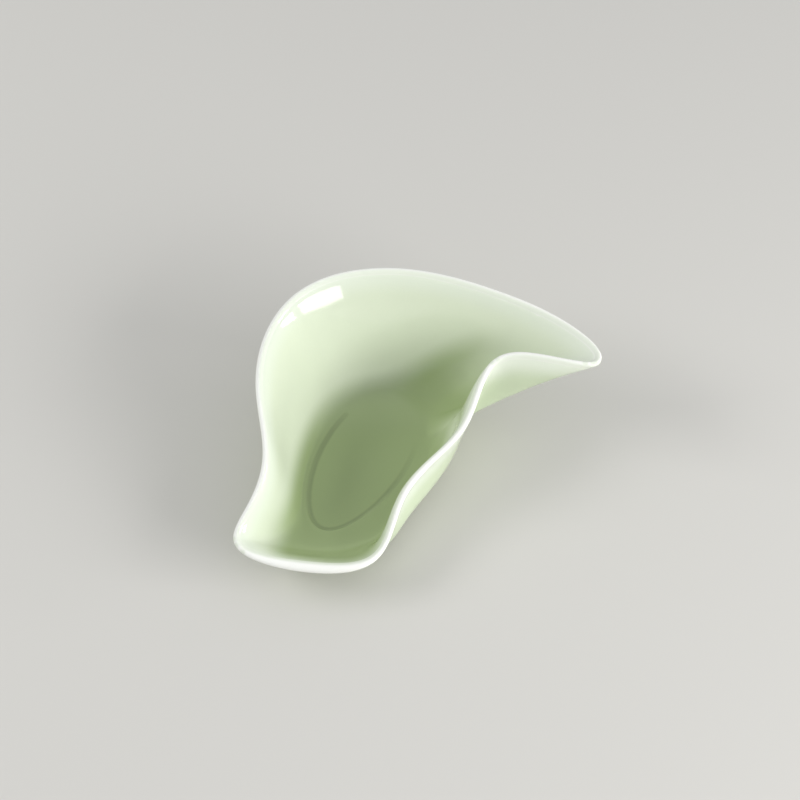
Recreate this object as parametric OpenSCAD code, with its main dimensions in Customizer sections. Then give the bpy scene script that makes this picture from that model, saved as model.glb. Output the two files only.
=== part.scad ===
// Tea scoop: a free-form porcelain dish with a pouring lip at one end, a pointed
// handle at the other, and a low foot ring under an egg-shaped floor.
// X runs from the lip to the handle, Y to the high back wall, Z up, in millimetres.
// Rim stations are at the middle of the wall, and all places are measured from one point over the foot.

/* [Floor and foot] */
// Middle of the egg-shaped floor, along the length
floor_x = -4; // [-4.6:0.1:-2]
// Middle of the egg-shaped floor, across the width
floor_y = -5; // [-5.8:0.1:-4.2]
// Length of the floor from its middle to the handle's end
floor_back = 32; // [31.3:0.1:35]
// Length of the floor from its middle to the lip's end
floor_front = 30; // [28:0.5:33]
// Width of the floor
floor_width = 31; // [28:0.1:32.6]
// How much the floor narrows towards the lip, as a share of its width
floor_taper = 0.15; // [0.1:0.05:0.3]
// Turn of the floor's long axis from the length of the scoop, in degrees
floor_turn = 28; // [26.9:0.1:32]
// Step down to the floor at the lip's end, which fades out at the handle's end
floor_step = 0.8; // [0.4:0.1:1.2]
// Distance of the step from the foot of the wall
step_inset = 1.2; // [0.6:0.1:3]
// Height of the foot ring
foot_height = 1.8; // [1:0.1:4]
// Width of the foot ring
foot_width = 3; // [2:0.1:5]
// Distance of the foot ring from the edge of the underside
foot_inset = 2; // [1:0.1:5]

/* [Wall and glaze] */
// Thickness of the foot of the wall at the lip's end
base_wall = 3; // [2.4:0.1:3.6]
// Thickness of the wall at the rim
rim_wall = 2.2; // [1.6:0.1:2.3]
// Thickness of the wall at the middle of the pouring lip
lip_wall = 3.6; // [2.4:0.1:4.2]
// Thickness of the glaze on the walls
glaze_coat = 0.3; // [0.15:0.05:0.4]
// Extra thickness where the glaze pools on the floor
glaze_pool = 0.2; // [0:0.05:0.4]
// Distance over which the glaze thins out towards a bare edge
glaze_feather = 4; // [2:0.5:8]

/* [Rim of the handle] */
// Far side of the tip, along the length
tip_far_x = 65; // [64.8:0.1:66.6]
// Far side of the tip, across the width
tip_far_y = -35; // [-35.5:0.1:-34.2]
// Far side of the tip, height
tip_far_z = 35; // [34.2:0.1:35]
// Far rim of the handle, along the length
far_x = 63.2; // [60:0.1:64.3]
// Far rim of the handle, across the width
far_y = -18.5; // [-22:0.1:-15.9]
// Far rim of the handle, height
far_z = 36.5; // [35.2:0.1:40]
// Fold where the front turns into the handle, along the length
fold_x = 36; // [34.4:0.1:36.2]
// Fold where the front turns into the handle, across the width
fold_y = -18; // [-18.8:0.1:-17.8]
// Fold where the front turns into the handle, height
fold_z = 33; // [32.6:0.1:34.1]
// Near rim of the handle, along the length
near_x = 46.5; // [46.2:0.1:46.8]
// Near rim of the handle, across the width
near_y = -22; // [-22.8:0.1:-21.8]
// Near rim of the handle, height
near_z = 35.5; // [35.5:0.1:35.8]
// Near side of the tip, along the length
tip_near_x = 61; // [59.8:0.1:61.2]
// Near side of the tip, across the width
tip_near_y = -37.6; // [-38:0.1:-36.7]
// Near side of the tip, height
tip_near_z = 35; // [35:0.5:35.5]

/* [Rim of the back] */
// Rim where the handle runs into the back, along the length
back_x = 54.5; // [51:0.5:58]
// Rim where the handle runs into the back, across the width
back_y = 0; // [-4:0.5:4]
// Rim where the handle runs into the back, height
back_z = 38.5; // [34:0.5:43]
// Crown of the back, along the length
crown_x = 35.5; // [32:0.5:40]
// Crown of the back, across the width
crown_y = 25.5; // [23:0.5:30]
// Crown of the back, height
crown_z = 40; // [35:0.5:45]
// Shoulder of the back, along the length
shoulder_x = 5.8; // [2:0.1:10]
// Shoulder of the back, across the width
shoulder_y = 38.3; // [35:0.1:42]
// Shoulder of the back, height
shoulder_z = 38.5; // [34:0.5:43]
// Side wall, along the length
side_x = -22.5; // [-26:0.1:-19.9]
// Side wall, across the width
side_y = 21.4; // [18.8:0.1:25]
// Side wall, height
side_z = 34.5; // [30:0.5:39]

/* [Rim of the lip] */
// Waist between the side wall and the lip, along the length
waist_x = -35; // [-38:0.1:-34.2]
// Waist between the side wall and the lip, across the width
waist_y = 1; // [0.2:0.1:4]
// Waist between the side wall and the lip, height
waist_z = 26.5; // [23:0.1:29.1]
// Flare above the lip, along the length
flare_x = -48.5; // [-51:0.5:-46]
// Flare above the lip, across the width
flare_y = -8.5; // [-11:0.5:-6]
// Flare above the lip, height
flare_z = 20.5; // [17:0.5:24]
// High corner of the lip, along the length
high_corner_x = -58; // [-61:0.5:-55]
// High corner of the lip, across the width
high_corner_y = -15.5; // [-18:0.5:-13]
// High corner of the lip, height
high_corner_z = 17.5; // [14:0.5:21]
// Middle of the lip, along the length
lip_x = -43.8; // [-46:0.1:-42]
// Middle of the lip, across the width
lip_y = -33.2; // [-35:0.1:-32]
// Middle of the lip, height
lip_z = 13; // [10:0.5:16]
// Low corner of the lip, along the length
low_corner_x = -26.2; // [-28:0.1:-23]
// Low corner of the lip, across the width
low_corner_y = -42.3; // [-45:0.1:-40]
// Low corner of the lip, height
low_corner_z = 14; // [11:0.5:17]

/* [Rim of the front] */
// Front wall next to the lip, along the length
front_x = -8.5; // [-11:0.5:-6]
// Front wall next to the lip, across the width
front_y = -32; // [-35:0.5:-30]
// Front wall next to the lip, height
front_z = 18.5; // [16:0.5:22]
// Middle of the front wall, along the length
middle_x = 8; // [5:0.5:11]
// Middle of the front wall, across the width
middle_y = -29; // [-32:0.5:-27]
// Middle of the front wall, height
middle_z = 23.5; // [20:0.5:27]
// Notch before the handle, along the length
notch_x = 21; // [18:0.1:22.6]
// Notch before the handle, across the width
notch_y = -26.5; // [-27.5:0.5:-24]
// Notch before the handle, height
notch_z = 28; // [24:0.5:31]

/* [Lean of the wall at the rim] */
// Lean at the far side of the handle's tip, in degrees above level
tip_lean = 25; // [23.4:0.1:27.2]
// Lean at the near side of the tip, in degrees
point_lean = 21; // [19.4:0.1:24]
// Lean at the far rim of the handle, in degrees
far_lean = 48; // [44:1:52]
// Lean where the handle runs into the back, in degrees
back_lean = 58; // [54:1:64]
// Lean at the crown of the back, in degrees
crown_lean = 63; // [59:1:69]
// Lean at the shoulder and the side wall, in degrees
side_lean = 59; // [56:1:66]
// Lean at the waist, in degrees
waist_lean = 70; // [62:1:78]
// Lean at the flare, in degrees
flare_lean = 50; // [42:1:58]
// Lean at the two corners of the lip, in degrees
corner_lean = 41; // [34:1:48]
// Lean at the middle of the lip, in degrees
lip_lean = 36; // [30:1:40]
// Lean along the front wall, in degrees
front_lean = 58; // [54:1:62]
// Lean at the notch and the fold, in degrees
fold_lean = 63.5; // [60.5:0.1:64.7]
// Lean at the near rim of the handle, in degrees
near_lean = 59; // [57.4:0.1:60.6]

/* [Reach of the wall before it rises] */
// Reach at the handle's tip, as a share of the wall's run from the floor to the rim
tip_reach = 0.2; // [0.17:0.01:0.24]
// Reach along the far rim of the handle
far_reach = 0.31; // [0.28:0.01:0.36]
// Reach where the handle runs into the back
root_reach = 0.6; // [0.5:0.05:0.7]
// Reach along the back
back_reach = 0.36; // [0.34:0.01:0.5]
// Reach along the side wall
side_reach = 0.32; // [0.28:0.02:0.4]
// Reach along the waist and the flare
waist_reach = 0.4; // [0.365:0.005:0.5]
// Reach along the lip
lip_reach = 0.6; // [0.5:0.05:0.7]
// Reach of the front wall next to the lip
front_reach = 1.65; // [1.4:0.05:1.75]
// Reach at the middle of the front wall
middle_reach = 1.2; // [1:0.05:1.3]
// Reach at the notch
notch_reach = 0.83; // [0.75:0.01:0.95]
// Reach at the fold
fold_reach = 0.58; // [0.54:0.01:0.6]
// Reach along the near rim of the handle
near_reach = 0.21; // [0.195:0.005:0.23]

/* [Hidden] */

// Columns of points from one rim station to the next, rings up the wall, and arcs over the rim
columns_per_station = 6;
wall_rings = 12;
rim_arcs = 4;
// How far the wall keeps its lean below the rim, as a share of its height along the slope
rim_reach = 0.4;
smoothing_passes = 30;

// Rim stations in order round the scoop: x, y, z, reach, lean and thickness of the wall
rim_stations = [
    [tip_far_x, tip_far_y, tip_far_z, tip_reach, tip_lean, rim_wall],
    [far_x, far_y, far_z, far_reach, far_lean, rim_wall],
    [back_x, back_y, back_z, root_reach, back_lean, rim_wall],
    [crown_x, crown_y, crown_z, back_reach, crown_lean, rim_wall],
    [shoulder_x, shoulder_y, shoulder_z, back_reach, side_lean, rim_wall],
    [side_x, side_y, side_z, side_reach, side_lean, rim_wall],
    [waist_x, waist_y, waist_z, waist_reach, waist_lean, rim_wall],
    [flare_x, flare_y, flare_z, waist_reach, flare_lean, rim_wall],
    [high_corner_x, high_corner_y, high_corner_z, waist_reach, corner_lean, rim_wall],
    [lip_x, lip_y, lip_z, lip_reach, lip_lean, lip_wall],
    [low_corner_x, low_corner_y, low_corner_z, lip_reach, corner_lean, rim_wall],
    [front_x, front_y, front_z, front_reach, front_lean, rim_wall],
    [middle_x, middle_y, middle_z, middle_reach, front_lean, rim_wall],
    [notch_x, notch_y, notch_z, notch_reach, fold_lean, rim_wall],
    [fold_x, fold_y, fold_z, fold_reach, fold_lean, rim_wall],
    [near_x, near_y, near_z, near_reach, near_lean, rim_wall],
    [tip_near_x, tip_near_y, tip_near_z, tip_reach, point_lean, rim_wall],
];
// Angles round the floor at which the walls below these stations start
wall_starts = [-38, -32, -20, 9, 50, 95, 132, 152, 164, 186, 212, 242, 262, 285, 298, 305, 321];
count = len(rim_stations);
stations = [for (i = [0 : count - 1]) [each rim_stations[i], wall_starts[i]]];
one_turn = [0, 0, 0, 0, 0, 0, 360];

function unit(v) = v / norm(v);
function place(v) = [v[0], v[1], v[2]];
function mix(a, b, share) = a + (b - a) * share;
function ease(share) = let (s = min(max(share, 0), 1)) s * s * (3 - 2 * s);
function reversed(list) = [for (i = [len(list) - 1 : -1 : 0]) list[i]];

// Closed curve through the stations, smooth in its slope and its bend
function at(list, i) = list[(i + count) % count];
function leap(i) = at(stations, i + 1) - stations[i] + (i == count - 1 ? one_turn : 0 * one_turn);
leaps = [for (i = [0 : count - 1]) leap(i)];
gaps = [for (l = leaps) sqrt(norm(place(l)))];
function settle(slopes, passes) = passes == 0 ? slopes : settle([
    for (i = [0 : count - 1])
        let (before = at(gaps, i - 1), after = gaps[i])
        (3 * (at(leaps, i - 1) * after / before + leaps[i] * before / after)
            - at(slopes, i - 1) * after - at(slopes, i + 1) * before) / (2 * (before + after))
], passes - 1);
slopes = settle([for (s = stations) 0 * s], smoothing_passes);
function along(i, t) =
    stations[i] + leaps[i] * t * t * (3 - 2 * t)
    + slopes[i] * gaps[i] * t * (1 - t) * (1 - t) - at(slopes, i + 1) * gaps[i] * t * t * (1 - t);
columns = [
    for (i = [0 : count - 1], k = [0 : columns_per_station - 1]) along(i, k / columns_per_station)
];
width = len(columns);
thicknesses = [for (c = columns) c[5]];
turns = [for (c = columns) c[6]];

// Point of the floor's outline at an angle, drawn in by a distance
function egg(angle, inset) =
    let (
        a = ((cos(angle) > 0 ? floor_back : floor_front) - inset) * cos(angle),
        b = (floor_width / 2 - inset) * sin(angle) * (1 + floor_taper * cos(angle))
    )
    [
        floor_x + a * cos(floor_turn) - b * sin(floor_turn),
        floor_y + a * sin(floor_turn) + b * cos(floor_turn)
    ];
function floor_point(height) = [floor_x, floor_y, height];
function egg_outline(inset) = [for (angle = turns) egg(angle, inset)];
function step_height(angle) = floor_step * pow((1 - cos(angle)) / 2, 2);
floor_level = foot_height + base_wall - floor_step;

// Thickness of the wall at its foot, and in one column from the foot to the rim
function foot_thickness(angle) = base_wall - floor_step + step_height(angle);
function wall_thickness(j, share) = mix(foot_thickness(turns[j]), thicknesses[j], share);

// The four control points of the wall's middle in one column, from the floor to the rim
function wall_curve(column) =
    let (
        angle = column[6],
        foot = [each egg(angle, 0), foot_height + foot_thickness(angle) / 2],
        rim = place(column),
        run = [rim.x - foot.x, rim.y - foot.y, 0],
        rise = unit(run) * cos(column[4]) + [0, 0, sin(column[4])]
    )
    [foot, foot + run * column[3], rim - rise * norm(rim - foot) * rim_reach, rim];
function curve_point(c, t) =
    c[0] * pow(1 - t, 3) + 3 * c[1] * t * pow(1 - t, 2) + 3 * c[2] * t * t * (1 - t) + c[3] * pow(t, 3);
function curve_slope(c, t) =
    (c[1] - c[0]) * pow(1 - t, 2) + 2 * (c[2] - c[1]) * t * (1 - t) + (c[3] - c[2]) * t * t;

curves = [for (c = columns) wall_curve(c)];
middles = [for (i = [0 : wall_rings]) [for (c = curves) curve_point(c, i / wall_rings)]];
function sideways(i, j) = middles[i][(j + 1) % width] - middles[i][(j + width - 1) % width];
function inward_at(i, j) =
    i == 0 ? [0, 0, 1] : unit(cross(curve_slope(curves[j], i / wall_rings), sideways(i, j)));
inward = [for (i = [0 : wall_rings]) [for (j = [0 : width - 1]) inward_at(i, j)]];

// Rings of the wall's two faces and of its round rim
function face_ring(i, side) = [
    for (j = [0 : width - 1])
        middles[i][j] + inward[i][j] * side * wall_thickness(j, i / wall_rings) / 2
];
inner = [for (i = [0 : wall_rings]) face_ring(i, 1)];
outer = [for (i = [0 : wall_rings]) face_ring(i, -1)];
function rim_ring(angle) = [
    for (j = [0 : width - 1])
        let (in = inward[wall_rings][j], crest = unit(cross(sideways(wall_rings, j), in)))
        middles[wall_rings][j] + (in * cos(angle) + crest * sin(angle)) * thicknesses[j] / 2
];
rim = [for (k = [1 : rim_arcs - 1]) rim_ring(180 * k / rim_arcs)];
floor_rings = [
    [for (angle = turns) [each egg(angle, step_inset + floor_step), floor_level]],
    [for (angle = turns) [each egg(angle, step_inset), floor_level + step_height(angle)]],
];
body_rings = [each floor_rings, each inner, each rim, each reversed(outer)];

// Middle of the scoop's outline, which is put over the origin
all_x = [for (ring = body_rings, p = ring) p.x];
all_y = [for (ring = body_rings, p = ring) p.y];
centre = [min(all_x) + max(all_x), min(all_y) + max(all_y), 0] / 2;

// Each coat of glaze lies on one face and thins out to nothing at its edges
foot_edge = [for (angle = turns) [each egg(angle, foot_inset), foot_height]];
function coat(extra, distance) = (glaze_coat + extra) * ease(distance / glaze_feather);
function inside_coat(i) = [
    for (j = [0 : width - 1])
        let (p = inner[i][j], pool = glaze_pool * (1 - i / wall_rings))
        p + inward[i][j] * coat(pool, norm(p - inner[wall_rings][j]))
];
function outside_coat(i) = [
    for (j = [0 : width - 1])
        let (p = outer[i][j])
        p - inward[i][j] * coat(0, min(norm(p - outer[wall_rings][j]), norm(p - foot_edge[j])))
];
function raised(ring, height) = [for (p = ring) p + [0, 0, height]];

// Solids through a list of closed rings: capped by two points, or joined from the last ring to the first.
// The back rings of a coat run the other way, and their squares are cut along the same lines as the body's.
function ring_faces(first, next, back) = [
    for (j = [0 : width - 1])
        let (k = (j + 1) % width, a = first * width, b = next * width)
        each back
            ? [[a + j, a + k, b + j], [a + k, b + k, b + j]]
            : [[a + j, a + k, b + k], [a + j, b + k, b + j]]
];
module capped_skin(front, back, top, bottom) {
    rings = [each front, each back];
    last = len(rings) - 1;
    points = [for (ring = rings) each ring];
    polyhedron([each points, top, bottom], [
        for (i = [0 : last - 1]) each ring_faces(i, i + 1, i >= len(front)),
        for (j = [0 : width - 1]) [len(points), (j + 1) % width, j],
        for (j = [0 : width - 1]) [len(points) + 1, last * width + j, last * width + (j + 1) % width],
    ]);
}
module looped_skin(front, back) {
    rings = [each front, each back];
    polyhedron([for (ring = rings) each ring], [
        for (i = [0 : len(rings) - 1]) each ring_faces(i, (i + 1) % len(rings), i >= len(front)),
    ]);
}
module centred() {
    translate(-centre) children();
}

// Cast porcelain: floor, wall and round rim in one piece
module porcelain_body() {
    color([0.95, 0.95, 0.92])
    centred() capped_skin(body_rings, [], floor_point(floor_level), floor_point(foot_height));
}

// Bare ring under the floor that the scoop stands on
module foot_ring() {
    color([0.90, 0.88, 0.82])
    centred() linear_extrude(foot_height) difference() {
        polygon(egg_outline(foot_inset));
        polygon(egg_outline(foot_inset + foot_width));
    }
}

// Celadon glaze over the floor and up the inside of the wall
module inside_glaze() {
    pool = glaze_coat + glaze_pool;
    color([0.80, 0.86, 0.70])
    centred() capped_skin([
        for (ring = floor_rings) raised(ring, pool),
        for (i = [0 : wall_rings - 1]) inside_coat(i),
    ], reversed([each floor_rings, each inner]), floor_point(floor_level + pool), floor_point(floor_level));
}

// Celadon glaze down the outside of the wall and in to the foot ring
module outside_glaze() {
    color([0.82, 0.87, 0.73])
    centred() looped_skin([
        outer[wall_rings],
        for (i = [wall_rings - 1 : -1 : 0]) outside_coat(i),
        foot_edge,
    ], [for (i = [0 : wall_rings - 1]) outer[i]]);
}

// Celadon glaze on the underside, inside the foot ring
module base_glaze() {
    color([0.82, 0.87, 0.73])
    centred() translate([0, 0, foot_height - glaze_coat]) linear_extrude(glaze_coat)
        polygon(egg_outline(foot_inset + foot_width));
}

porcelain_body();
foot_ring();
inside_glaze();
outside_glaze();
base_glaze();
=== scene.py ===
import math

import bmesh
import bpy
from mathutils import Matrix, Vector


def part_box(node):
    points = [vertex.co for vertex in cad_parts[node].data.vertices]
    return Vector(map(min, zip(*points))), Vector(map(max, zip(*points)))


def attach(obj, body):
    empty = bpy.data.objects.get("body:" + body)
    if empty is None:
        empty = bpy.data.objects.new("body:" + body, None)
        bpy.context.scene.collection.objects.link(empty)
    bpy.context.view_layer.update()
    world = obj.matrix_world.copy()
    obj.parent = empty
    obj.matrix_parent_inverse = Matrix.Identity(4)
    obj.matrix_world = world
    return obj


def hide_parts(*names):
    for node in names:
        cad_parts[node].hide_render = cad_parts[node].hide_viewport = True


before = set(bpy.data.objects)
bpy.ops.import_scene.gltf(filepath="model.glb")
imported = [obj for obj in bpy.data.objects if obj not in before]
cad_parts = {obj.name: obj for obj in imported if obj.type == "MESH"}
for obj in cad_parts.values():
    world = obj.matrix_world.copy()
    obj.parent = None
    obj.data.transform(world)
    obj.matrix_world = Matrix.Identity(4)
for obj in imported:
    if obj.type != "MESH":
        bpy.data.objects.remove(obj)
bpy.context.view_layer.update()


# Porcelain body: floor, wall and round rim, cast in one piece from white porcelain slip.
# The glaze draws back from the rim in the kiln, so the rim shows white and still shines.
WELD = 1e-6
SLIVER = 0.0001
FAN_FACES = 40
FLOOR_BAND = 0.0016
PAIRING = math.radians(60)
CAST_LEVELS = 2
CAST_RELAX = 2
RIM_FOOT_BENDS = (math.radians(14), math.radians(34))
RIM_WHITE = (244, 245, 240)
RIM_CLOUDED = (241, 241, 234)
RIM_SIDE = (228, 233, 219)
RIM_SIDE_END = 0.0004
RIM_WHITE_START = 0.0013
RIM_ROUGHNESS = 0.08
RIM_CLOUDS = 60.0
RIM_CLOUD_DETAIL = 3.0
SKIN_GRAIN = 900.0
SKIN_DETAIL = 2.0
SKIN_STRENGTH = 0.03
SKIN_DEPTH = 0.0001
GLAZE_IOR = 1.52


def paint(red, green, blue):
    """A colour as it looks on a screen, for a shader socket."""
    def linear(value):
        share = value / 255
        return share / 12.92 if share <= 0.04045 else ((share + 0.055) / 1.055) ** 2.4
    return (linear(red), linear(green), linear(blue), 1.0)


def cast_copy(node):
    """The CAD node as an object of its own, with its loose triangles welded and paired into squares.
    Slivers are dropped first, and a flat fan of triangles gets a band of faces along its edge."""
    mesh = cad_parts[node].data.copy()
    mesh.materials.clear()
    shell = bmesh.new()
    shell.from_mesh(mesh)
    bmesh.ops.remove_doubles(shell, verts=shell.verts, dist=WELD)
    bmesh.ops.dissolve_degenerate(shell, dist=SLIVER, edges=shell.edges)
    for hub in [vert for vert in shell.verts if len(vert.link_faces) > FAN_FACES]:
        bmesh.ops.inset_region(shell, faces=hub.link_faces[:], thickness=FLOOR_BAND)
    bmesh.ops.join_triangles(
        shell, faces=shell.faces, angle_face_threshold=PAIRING, angle_shape_threshold=math.pi)
    shell.to_mesh(mesh)
    shell.free()
    piece = bpy.data.objects.new(node + "_looks", mesh)
    bpy.context.scene.collection.objects.link(piece)
    return piece


def give(tree, socket, value):
    """Links an input to another node's socket, or sets it to a plain value."""
    if isinstance(value, bpy.types.NodeSocket):
        tree.links.new(value, socket)
    else:
        socket.default_value = value


def add(tree, kind, inputs=(), **settings):
    """A node with its settings, and with its inputs given."""
    node = tree.nodes.new(kind)
    for name, value in settings.items():
        setattr(node, name, value)
    for name, value in dict(inputs).items():
        give(tree, node.inputs[name], value)
    return node


def live(sockets, kind):
    """The sockets of a kind that a node shows for its present settings."""
    return [socket for socket in sockets if socket.enabled and socket.type == kind]


def compare(tree, operation, value, limit, **more):
    """Whether a number lies above, below or at a limit."""
    return add(
        tree, "FunctionNodeCompare", {"A": value, "B": limit, **more},
        operation=operation).outputs["Result"]


def both(tree, one, other):
    """Whether two things hold together."""
    return add(
        tree, "FunctionNodeBooleanMath", {0: one, 1: other}, operation="AND").outputs["Boolean"]


def graded(tree, value, start, end, low=0.0, high=1.0, how="SMOOTHSTEP"):
    """A number that goes from low to high as a value goes from start to end."""
    return add(
        tree, "ShaderNodeMapRange",
        {"Value": value, "From Min": start, "From Max": end, "To Min": low, "To Max": high},
        interpolation_type=how).outputs["Result"]


def keep_distance(tree, name, points, shell, selection):
    """Keeps on each point, under a name, how far it lies from the selected edges of a shell."""
    edges = add(
        tree, "GeometryNodeSeparateGeometry", {"Geometry": shell, "Selection": selection},
        domain="EDGE")
    here = add(tree, "GeometryNodeInputPosition").outputs["Position"]
    away = add(
        tree, "GeometryNodeProximity", {0: edges.outputs["Selection"], "Sample Position": here},
        target_element="EDGES").outputs["Distance"]
    return add(
        tree, "GeometryNodeStoreNamedAttribute", {"Geometry": points, "Name": name, "Value": away},
        data_type="FLOAT", domain="POINT").outputs["Geometry"]


def let_into_bed(tree, shell, from_edge, given):
    """Draws a shell down towards its sharp edges, until these lie just under the face of its bed."""
    here = add(tree, "GeometryNodeInputPosition").outputs["Position"]
    facing = add(tree, "GeometryNodeInputNormal").outputs["Normal"]
    bed = add(tree, "GeometryNodeObjectInfo", {"Object": given["Bed"]}).outputs["Geometry"]
    touch = add(
        tree, "GeometryNodeProximity", {0: bed, "Sample Position": here}, target_element="FACES")
    outward = add(
        tree, "GeometryNodeSampleNearestSurface", {"Mesh": bed, "Sample Position": here},
        data_type="FLOAT_VECTOR")
    give(tree, live(outward.inputs, "VECTOR")[0], facing)
    depth = add(
        tree, "ShaderNodeVectorMath",
        {0: live(outward.outputs, "VECTOR")[0], "Scale": given["Let in by"]}, operation="SCALE")
    under = add(
        tree, "ShaderNodeVectorMath", {0: touch.outputs["Position"], 1: depth.outputs["Vector"]},
        operation="SUBTRACT")
    hold = graded(tree, from_edge, 0.0, given["Let in over"], low=1.0, high=0.0)
    laid = add(tree, "ShaderNodeMix", {"Factor": hold}, data_type="VECTOR")
    laid_from, laid_to = live(laid.inputs, "VECTOR")
    give(tree, laid_from, here)
    give(tree, laid_to, under.outputs["Vector"])
    return add(
        tree, "GeometryNodeSetPosition",
        {"Geometry": shell, "Position": live(laid.outputs, "VECTOR")[0]}).outputs["Geometry"]


def smooth_cast_tree(name, on_bed):
    """Rounds a cast shell, and keeps as from_edge how far its points lie from edges in a range of bends.
    On a bed, as a glaze lies on its body, those edges stay sharp and are let in. There the edges that
    bend at one level, the step, are creased too, and the distance from them is kept as from_step."""
    inputs = [
        ("Shell", "Geometry"), ("Levels", "Int"), ("Relax", "Int"),
        ("Bend from", "Float"), ("Bend to", "Float"), ("Finish", "Material"),
    ]
    if on_bed:
        inputs += [
            ("Bed", "Object"), ("Let in over", "Float"), ("Let in by", "Float"),
            ("Step bend", "Float"), ("Step level", "Float"), ("Step crease", "Float"),
        ]
    tree = bpy.data.node_groups.new(name, "GeometryNodeTree")
    for label, kind in inputs:
        tree.interface.new_socket(label, in_out="INPUT", socket_type="NodeSocket" + kind)
    tree.interface.new_socket("Shell", in_out="OUTPUT", socket_type="NodeSocketGeometry")
    given = add(tree, "NodeGroupInput").outputs
    here = add(tree, "GeometryNodeInputPosition").outputs["Position"]
    bend = add(tree, "GeometryNodeInputMeshEdgeAngle").outputs["Unsigned Angle"]
    chosen = both(
        tree,
        compare(tree, "GREATER_THAN", bend, given["Bend from"]),
        compare(tree, "LESS_THAN", bend, given["Bend to"]))
    rounded = add(
        tree, "GeometryNodeSubdivisionSurface", {"Mesh": given["Shell"], "Level": given["Levels"]})
    kept = keep_distance(tree, "from_edge", rounded.outputs["Mesh"], given["Shell"], chosen)
    if on_bed:
        rise = add(tree, "ShaderNodeSeparateXYZ", {"Vector": here}).outputs["Z"]
        stepped = both(
            tree,
            compare(tree, "GREATER_THAN", bend, given["Step bend"]),
            compare(tree, "EQUAL", rise, given["Step level"], Epsilon=WELD))
        crisp = add(tree, "ShaderNodeMath", {0: stepped, 1: given["Step crease"]}, operation="MULTIPLY")
        crease = add(tree, "ShaderNodeMath", {0: crisp.outputs["Value"], 1: chosen}, operation="MAXIMUM")
        give(tree, rounded.inputs["Edge Crease"], crease.outputs["Value"])
        kept = keep_distance(tree, "from_step", kept, given["Shell"], stepped)
    kept_value = add(tree, "GeometryNodeInputNamedAttribute", {"Name": "from_edge"}, data_type="FLOAT")
    from_edge = live(kept_value.outputs, "VALUE")[0]
    relaxed = add(
        tree, "GeometryNodeBlurAttribute", {"Iterations": given["Relax"]}, data_type="FLOAT_VECTOR")
    give(tree, live(relaxed.inputs, "VECTOR")[0], here)
    off_edge = compare(tree, "GREATER_THAN", from_edge, WELD)
    settled = add(
        tree, "GeometryNodeSetPosition",
        {"Geometry": kept, "Selection": off_edge, "Position": live(relaxed.outputs, "VECTOR")[0]},
    ).outputs["Geometry"]
    if on_bed:
        settled = let_into_bed(tree, settled, from_edge, given)
    smooth = add(tree, "GeometryNodeSetShadeSmooth", {0: settled}).outputs[0]
    if on_bed:
        smooth = add(
            tree, "GeometryNodeSetShadeSmooth", {0: smooth, "Selection": chosen, "Shade Smooth": False},
            domain="EDGE").outputs[0]
    whole = add(tree, "GeometryNodeRealizeInstances", {"Geometry": smooth}).outputs["Geometry"]
    finished = add(tree, "GeometryNodeSetMaterial", {"Geometry": whole, "Material": given["Finish"]})
    add(tree, "NodeGroupOutput", {"Shell": finished.outputs["Geometry"]})
    return tree


def fire(piece, tree, settings):
    """Runs a tree on a piece with these inputs, and leaves the result as its plain mesh."""
    kiln = piece.modifiers.new("kiln", "NODES")
    kiln.node_group = tree
    for item in tree.interface.items_tree:
        if item.in_out == "INPUT" and item.name in settings:
            kiln[item.identifier] = settings[item.name]
    depsgraph = bpy.context.evaluated_depsgraph_get()
    mesh = bpy.data.meshes.new_from_object(
        piece.evaluated_get(depsgraph), preserve_all_data_layers=True, depsgraph=depsgraph)
    piece.modifiers.clear()
    piece.data = mesh


def finish_named(name):
    """An empty material, its node tree and its output's surface socket."""
    material = bpy.data.materials.new(name)
    material.use_nodes = True
    material.node_tree.nodes.clear()
    surface = add(material.node_tree, "ShaderNodeOutputMaterial").inputs["Surface"]
    return material, material.node_tree, surface


def kept_distance(tree, name):
    """A distance that keep_distance left on the points of the piece."""
    return add(tree, "ShaderNodeAttribute", attribute_name=name).outputs["Fac"]


def noise(tree, place, scale, detail, coarseness=0.5):
    """A cloudy number from 0 to 1, with so many clouds to the metre."""
    return add(
        tree, "ShaderNodeTexNoise",
        {"Vector": place, "Scale": scale, "Detail": detail, "Roughness": coarseness}).outputs["Fac"]


def bumped(tree, height, strength, depth):
    """The normal of a skin that is uneven by a small depth."""
    return add(
        tree, "ShaderNodeBump",
        {"Height": height, "Strength": strength, "Distance": depth}).outputs["Normal"]


def blend(tree, share, first, second, how="MIX"):
    """A colour between two colours, or their product."""
    mix = add(tree, "ShaderNodeMix", {"Factor": share}, data_type="RGBA", blend_type=how)
    for socket, colour in zip(live(mix.inputs, "RGBA"), (first, second)):
        give(tree, socket, colour)
    return live(mix.outputs, "RGBA")[0]


def white_porcelain():
    material, tree, surface = finish_named("white_porcelain")
    place = add(tree, "ShaderNodeTexCoord").outputs["Object"]
    clouds = noise(tree, place, RIM_CLOUDS, RIM_CLOUD_DETAIL)
    white = blend(tree, clouds, paint(*RIM_WHITE), paint(*RIM_CLOUDED))
    crest = graded(tree, kept_distance(tree, "from_edge"), RIM_SIDE_END, RIM_WHITE_START)
    skin = noise(tree, place, SKIN_GRAIN, SKIN_DETAIL)
    shader = add(tree, "ShaderNodeBsdfPrincipled", {
        "Base Color": blend(tree, crest, paint(*RIM_SIDE), white),
        "Roughness": RIM_ROUGHNESS,
        "IOR": GLAZE_IOR,
        "Normal": bumped(tree, skin, SKIN_STRENGTH, SKIN_DEPTH),
    })
    tree.links.new(shader.outputs["BSDF"], surface)
    return material


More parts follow.
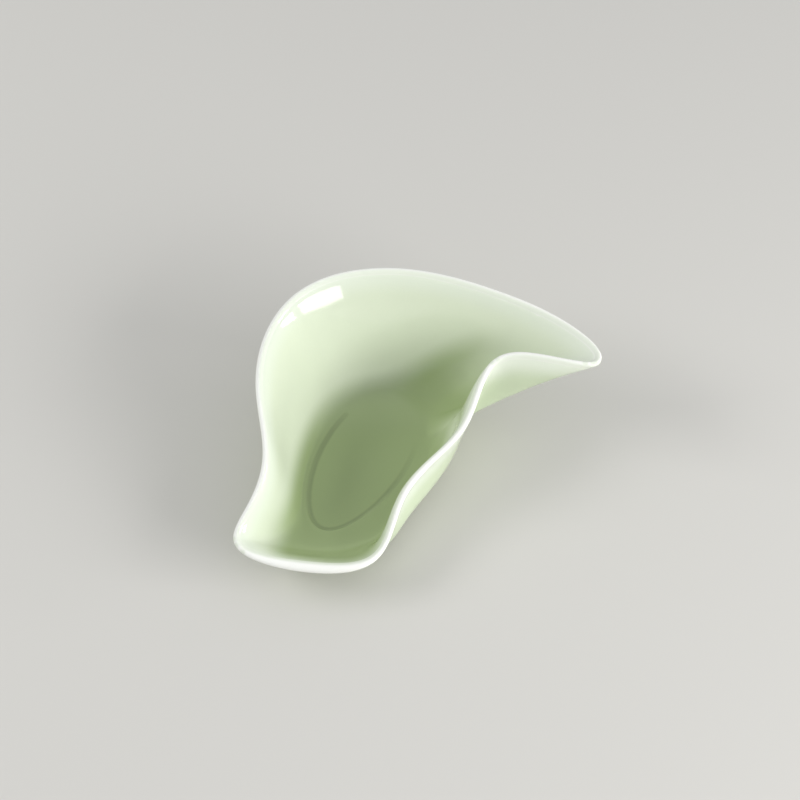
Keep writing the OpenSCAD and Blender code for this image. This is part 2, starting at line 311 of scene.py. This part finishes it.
porcelain_body = cast_copy("porcelain_body")
fire(porcelain_body, smooth_cast_tree("smooth_body", on_bed=False), {
    "Levels": CAST_LEVELS,
    "Relax": CAST_RELAX,
    "Bend from": RIM_FOOT_BENDS[0],
    "Bend to": RIM_FOOT_BENDS[1],
    "Finish": white_porcelain(),
})
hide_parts("porcelain_body")
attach(porcelain_body, "root")


# Foot ring: the low ring under the floor, cast with the body and wiped clean of glaze.
# It is ground flat after firing, so it is matt, a little darker, and warm where glaze met clay.
FOOT_CLAY = (226, 220, 206)
FOOT_TOASTED = (206, 184, 152)
FOOT_EDGE = 0.0003
FOOT_STEPS = 3
TOAST_FROM = 0.0008
TOAST_SHARE = 0.8
CLAY_GRAIN = 2500.0
CLAY_DETAIL = 4.0
CLAY_COARSENESS = 0.7
CLAY_SPECKS = (0.86, 1.06)
CLAY_STRENGTH = 0.35
CLAY_DEPTH = 0.0002
CLAY_ROUGHNESS = 0.82


def bare_clay():
    material, tree, surface = finish_named("bare_clay")
    place = add(tree, "ShaderNodeTexCoord").outputs["Object"]
    grain = noise(tree, place, CLAY_GRAIN, CLAY_DETAIL, CLAY_COARSENESS)
    height = add(tree, "ShaderNodeSeparateXYZ", {"Vector": place}).outputs["Z"]
    foot_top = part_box("foot_ring")[1].z
    toasted = graded(tree, height, TOAST_FROM, foot_top, high=TOAST_SHARE, how="LINEAR")
    tone = blend(tree, toasted, paint(*FOOT_CLAY), paint(*FOOT_TOASTED))
    specks = graded(tree, grain, 0.0, 1.0, *CLAY_SPECKS, how="LINEAR")
    shader = add(tree, "ShaderNodeBsdfPrincipled", {
        "Base Color": blend(tree, 1.0, tone, specks, how="MULTIPLY"),
        "Roughness": CLAY_ROUGHNESS,
        "Normal": bumped(tree, grain, CLAY_STRENGTH, CLAY_DEPTH),
    })
    tree.links.new(shader.outputs["BSDF"], surface)
    return material


foot_ring = cast_copy("foot_ring")
rounding = foot_ring.modifiers.new("ground edge", "BEVEL")
rounding.width = FOOT_EDGE
rounding.segments = FOOT_STEPS
rounding.limit_method = "ANGLE"
foot_ring.data.materials.append(bare_clay())
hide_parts("foot_ring")
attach(foot_ring, "root")


# Inside glaze: celadon poured over the floor and the inside of the wall, glassy and pale green.
# It fades to white at the rim. On the floor it turns a deeper green, partly glaze pooled there and partly
# painted shade;
# the painted shade is lighter towards the back, climbs the channel of the handle, and darkens a line
# along the floor's step.
KNIFE_BENDS = (math.radians(110), math.radians(180))
LET_IN_OVER = 0.0015
LET_IN_BY = 0.00003
FLOOR_LEVEL = 0.0045
GLAZE_THIN = (224, 231, 214)
GLAZE_THIN_SHARE = 0.15
GLAZE_WALL = (220, 228, 205)
# The floor's colour: partly glaze pooled on the floor, partly painted shade where the floor lies in
# shade.
GLAZE_POOL_AND_SHADE = (156, 173, 123)
FADE_END = 0.0085
POOL_AND_SHADE_TOP = 0.013
# The X and Y parts of this tilt are painted light: they make the floor lighter towards the back.
POOL_AND_SHADE_UP = (0.06, 0.10, 1.0)
LEFT_WALL_FADE = (0.027, 0.041)
# Painted shade up the channel under the fold, with some glaze gathered there, fading out towards the tip.
CHANNEL_RUN = (0.016, 0.056)
CHANNEL_SHADE_CLIMB = 0.024
CHANNEL_SHADE_FADE = (0.028, 0.054)
STEP_BEND = math.radians(4)
STEP_CRISPNESS = 0.8
STEP_CORE = 0.0004
STEP_REACH = 0.0013
# STEP_SHADE darkens the line along the step as painted shade.
STEP_SHADE = 0.78
STEP_FADE = (-0.008, 0.012)
GLAZE_CLOUDS = 45.0
GLAZE_CLOUD_DETAIL = 4.0
GLAZE_CLOUD_COARSENESS = 0.6
GLAZE_CLOUD_TINTS = (0.97, 1.03)
GLAZE_SEEDS = 1800.0
GLAZE_SEED_DETAIL = 2.0
GLAZE_SEED_TINTS = (0.985, 1.015)
GLAZE_RIPPLES = 120.0
GLAZE_RIPPLE_DETAIL = 1.0
GLAZE_RIPPLE_STRENGTH = 0.06
GLAZE_RIPPLE_DEPTH = 0.0006
GLAZE_ROUGHNESS = 0.07


def product(tree, one, other):
    return add(tree, "ShaderNodeMath", {0: one, 1: other}, operation="MULTIPLY").outputs["Value"]


def difference(tree, one, other):
    return add(tree, "ShaderNodeMath", {0: one, 1: other}, operation="SUBTRACT").outputs["Value"]


def pool_and_shade_share(tree, place, axes):
    """How far the colour goes to the pool-and-shade colour, from 0 to 1: partly glaze pooled on the
    floor, partly painted shade.
    Its level tilts as painted light, so the back of the floor is lighter. As painted shade it climbs the
    channel, which runs along X, and fades out further along X. It also fades out on the left wall, where
    Y is far above X."""
    rise = add(tree, "ShaderNodeVectorMath", {0: place, 1: POOL_AND_SHADE_UP}, operation="DOT_PRODUCT")
    shade_climb = graded(tree, axes["X"], *CHANNEL_RUN, high=CHANNEL_SHADE_CLIMB)
    height = difference(tree, rise.outputs["Value"], shade_climb)
    left_fade = graded(tree, difference(tree, axes["Y"], axes["X"]), *LEFT_WALL_FADE, low=1.0, high=0.0)
    strongest = graded(tree, axes["X"], *CHANNEL_SHADE_FADE, low=left_fade, high=0.0)
    return graded(tree, height, POOL_AND_SHADE_TOP, FLOOR_LEVEL, high=strongest)


def step_shade(tree, axes):
    """Painted shade along the floor's step, for its riser lying in shade, where 1 is no darker. It runs
    out along X.
    """
    darkest = graded(tree, axes["X"], *STEP_FADE, low=STEP_SHADE, how="LINEAR")
    return graded(tree, kept_distance(tree, "from_step"), STEP_CORE, STEP_REACH, low=darkest)


def celadon(name, edge, thin, wall, pool_and_shade, stepped=False):
    material, tree, surface = finish_named(name)
    place = add(tree, "ShaderNodeTexCoord").outputs["Object"]
    axes = add(tree, "ShaderNodeSeparateXYZ", {"Vector": place}).outputs
    fade = graded(tree, kept_distance(tree, "from_edge"), 0.0, FADE_END, how="LINEAR")
    ramp = add(tree, "ShaderNodeValToRGB", {"Fac": fade})
    ramp.color_ramp.interpolation = "EASE"
    ramp.color_ramp.elements[0].color = paint(*edge)
    ramp.color_ramp.elements[1].color = paint(*wall)
    ramp.color_ramp.elements.new(GLAZE_THIN_SHARE).color = paint(*thin)
    # Pooled glaze and painted shade on the floor and up the channel.
    pooled_and_shaded = blend(tree, pool_and_shade_share(tree, place, axes), ramp.outputs["Color"], paint(*pool_and_shade))
    clouds = noise(tree, place, GLAZE_CLOUDS, GLAZE_CLOUD_DETAIL, GLAZE_CLOUD_COARSENESS)
    seeds = noise(tree, place, GLAZE_SEEDS, GLAZE_SEED_DETAIL)
    tint_and_step_shade = product(
        tree,
        graded(tree, clouds, 0.0, 1.0, *GLAZE_CLOUD_TINTS, how="LINEAR"),
        graded(tree, seeds, 0.0, 1.0, *GLAZE_SEED_TINTS, how="LINEAR"))
    # Painted shade along the floor's step, on top of the glaze's random tint.
    if stepped:
        tint_and_step_shade = product(tree, tint_and_step_shade, step_shade(tree, axes))
    ripples = noise(tree, place, GLAZE_RIPPLES, GLAZE_RIPPLE_DETAIL)
    shader = add(tree, "ShaderNodeBsdfPrincipled", {
        "Base Color": blend(tree, 1.0, pooled_and_shaded, tint_and_step_shade, how="MULTIPLY"),
        "Roughness": GLAZE_ROUGHNESS,
        "IOR": GLAZE_IOR,
        "Normal": bumped(tree, ripples, GLAZE_RIPPLE_STRENGTH, GLAZE_RIPPLE_DEPTH),
    })
    tree.links.new(shader.outputs["BSDF"], surface)
    return material


smooth_glaze = smooth_cast_tree("smooth_glaze", on_bed=True)
coat = {
    "Levels": CAST_LEVELS,
    "Relax": CAST_RELAX,
    "Bend from": KNIFE_BENDS[0],
    "Bend to": KNIFE_BENDS[1],
    "Bed": porcelain_body,
    "Let in over": LET_IN_OVER,
    "Let in by": LET_IN_BY,
}
inside_glaze = cast_copy("inside_glaze")
fire(inside_glaze, smooth_glaze, {
    **coat,
    "Step bend": STEP_BEND,
    "Step level": FLOOR_LEVEL,
    "Step crease": STEP_CRISPNESS,
    "Finish": celadon("inside_celadon", RIM_SIDE, GLAZE_THIN, GLAZE_WALL, GLAZE_POOL_AND_SHADE, stepped=True),
})
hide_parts("inside_glaze")
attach(inside_glaze, "root")


# Outside glaze: the same celadon, run down the outside of the wall to the foot ring.
# It is one coat with no pool, and thins out to nothing below the rim and at the foot.
# The same celadon painted darker than the inside wall: painted shade on the outside wall and the base.
OUTSIDE_WALL_SHADED = (200, 212, 182)

outside_glaze = cast_copy("outside_glaze")
fire(outside_glaze, smooth_glaze, {
    **coat,
    "Finish": celadon("outside_celadon", RIM_SIDE, GLAZE_THIN, OUTSIDE_WALL_SHADED, OUTSIDE_WALL_SHADED),
})
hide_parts("outside_glaze")
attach(outside_glaze, "root")


# Base glaze: the coat on the underside, inside the foot ring.
# It is the outside glaze again, brushed on before the foot is wiped.
base_glaze = cast_copy("base_glaze")
# It takes the outside glaze's darker colour, which is painted shade.
base_glaze.data.materials.append(
    celadon("base_celadon", OUTSIDE_WALL_SHADED, OUTSIDE_WALL_SHADED, OUTSIDE_WALL_SHADED, OUTSIDE_WALL_SHADED))
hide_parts("base_glaze")
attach(base_glaze, "root")


# Floor: a plain pale sheet under the scoop, much wider than the picture.
FLOOR_REACH = 4.0
FLOOR_PALE = (208, 206, 201)
FLOOR_ROUGHNESS = 0.9


def floor_sheet():
    mesh = bpy.data.meshes.new("floor")
    corners = [(x * FLOOR_REACH, y * FLOOR_REACH, 0) for x, y in ((-1, -1), (1, -1), (1, 1), (-1, 1))]
    mesh.from_pydata(corners, [], [(0, 1, 2, 3)])
    sheet = bpy.data.objects.new("floor", mesh)
    bpy.context.scene.collection.objects.link(sheet)
    material, tree, surface = finish_named("pale_floor")
    shader = add(
        tree, "ShaderNodeBsdfPrincipled",
        {"Base Color": paint(*FLOOR_PALE), "Roughness": FLOOR_ROUGHNESS})
    tree.links.new(shader.outputs["BSDF"], surface)
    mesh.materials.append(material)
    return sheet


floor_sheet()


# Light: an even pale room, a soft key from the front right and a weaker fill from behind on the left.
# The glaze mirrors neither of these lamps, but it mirrors two low windows: a wide one in front, which
# is only mirrored, and a small one on the right.
ROOM_LEVEL = 0.65
ROOM_PALE = (236, 238, 240)
LAMP_FAR = 0.9


def ray_from(azimuth, elevation):
    """The direction to a point seen at an azimuth from the front, towards the right, and an elevation."""
    turn, rise = math.radians(azimuth), math.radians(elevation)
    return Vector((math.sin(turn) * math.cos(rise), -math.cos(turn) * math.cos(rise), math.sin(rise)))


def soft_lamp(name, azimuth, elevation, wide, tall, power, mirrored=True, spreads=True):
    """A rectangular lamp turned to the scoop. Shiny faces show it if it is mirrored, and it lights
    what it falls on if it spreads."""
    lamp = bpy.data.lights.new(name, "AREA")
    lamp.shape = "RECTANGLE"
    lamp.size = wide
    lamp.size_y = tall
    lamp.energy = power
    stand = bpy.data.objects.new(name, lamp)
    direction = ray_from(azimuth, elevation)
    stand.location = direction * LAMP_FAR
    stand.visible_glossy = mirrored
    stand.visible_diffuse = spreads
    stand.rotation_mode = "QUATERNION"
    stand.rotation_quaternion = direction.to_track_quat("Z", "Y")
    bpy.context.scene.collection.objects.link(stand)


soft_lamp("window_front", azimuth=12, elevation=9, wide=0.80, tall=0.18, power=3.4, spreads=False)
soft_lamp("window_right", azimuth=52, elevation=7, wide=0.20, tall=0.15, power=1.2)
soft_lamp("key", azimuth=22, elevation=24, wide=0.70, tall=0.36, power=6.0, mirrored=False)
soft_lamp("fill_behind", azimuth=-128, elevation=38, wide=0.50, tall=0.30, power=2.8, mirrored=False)

room = bpy.data.worlds.new("room")
room.use_nodes = True
room_tree = room.node_tree
room_tree.nodes.clear()
air = add(room_tree, "ShaderNodeBackground", {"Color": paint(*ROOM_PALE), "Strength": ROOM_LEVEL})
add(room_tree, "ShaderNodeOutputWorld", {"Surface": air.outputs["Background"]})
bpy.context.scene.world = room
bpy.context.scene.view_settings.view_transform = "Standard"


# Camera: a long lens above the front left, moved sideways and up until AIM_POINT falls on AIM_PIXEL.
VIEW_AZIMUTH = -38
VIEW_ELEVATION = 50
VIEW_DISTANCE = 0.9384
LENS_MM = 135
SENSOR_MM = 36
PICTURE_SIZE = 800
AIM_POINT = Vector((-0.003770, 0.002067, 0.0))
AIM_PIXEL = (360.84, 456.49)

back = ray_from(VIEW_AZIMUTH, VIEW_ELEVATION)
right = Vector((0, 0, 1)).cross(back).normalized()
up = back.cross(right)
metres_per_pixel = VIEW_DISTANCE * SENSOR_MM / LENS_MM / PICTURE_SIZE
sideways = (PICTURE_SIZE / 2 - AIM_PIXEL[0]) * metres_per_pixel
upwards = (AIM_PIXEL[1] - PICTURE_SIZE / 2) * metres_per_pixel
camera_data = bpy.data.cameras.new("camera")
camera_data.lens = LENS_MM
camera_data.sensor_width = SENSOR_MM
camera = bpy.data.objects.new("camera", camera_data)
camera.matrix_world = Matrix.Translation(
    AIM_POINT + back * VIEW_DISTANCE + right * sideways + up * upwards
) @ Matrix((right, up, back)).transposed().to_4x4()
bpy.context.scene.collection.objects.link(camera)
bpy.context.scene.camera = camera
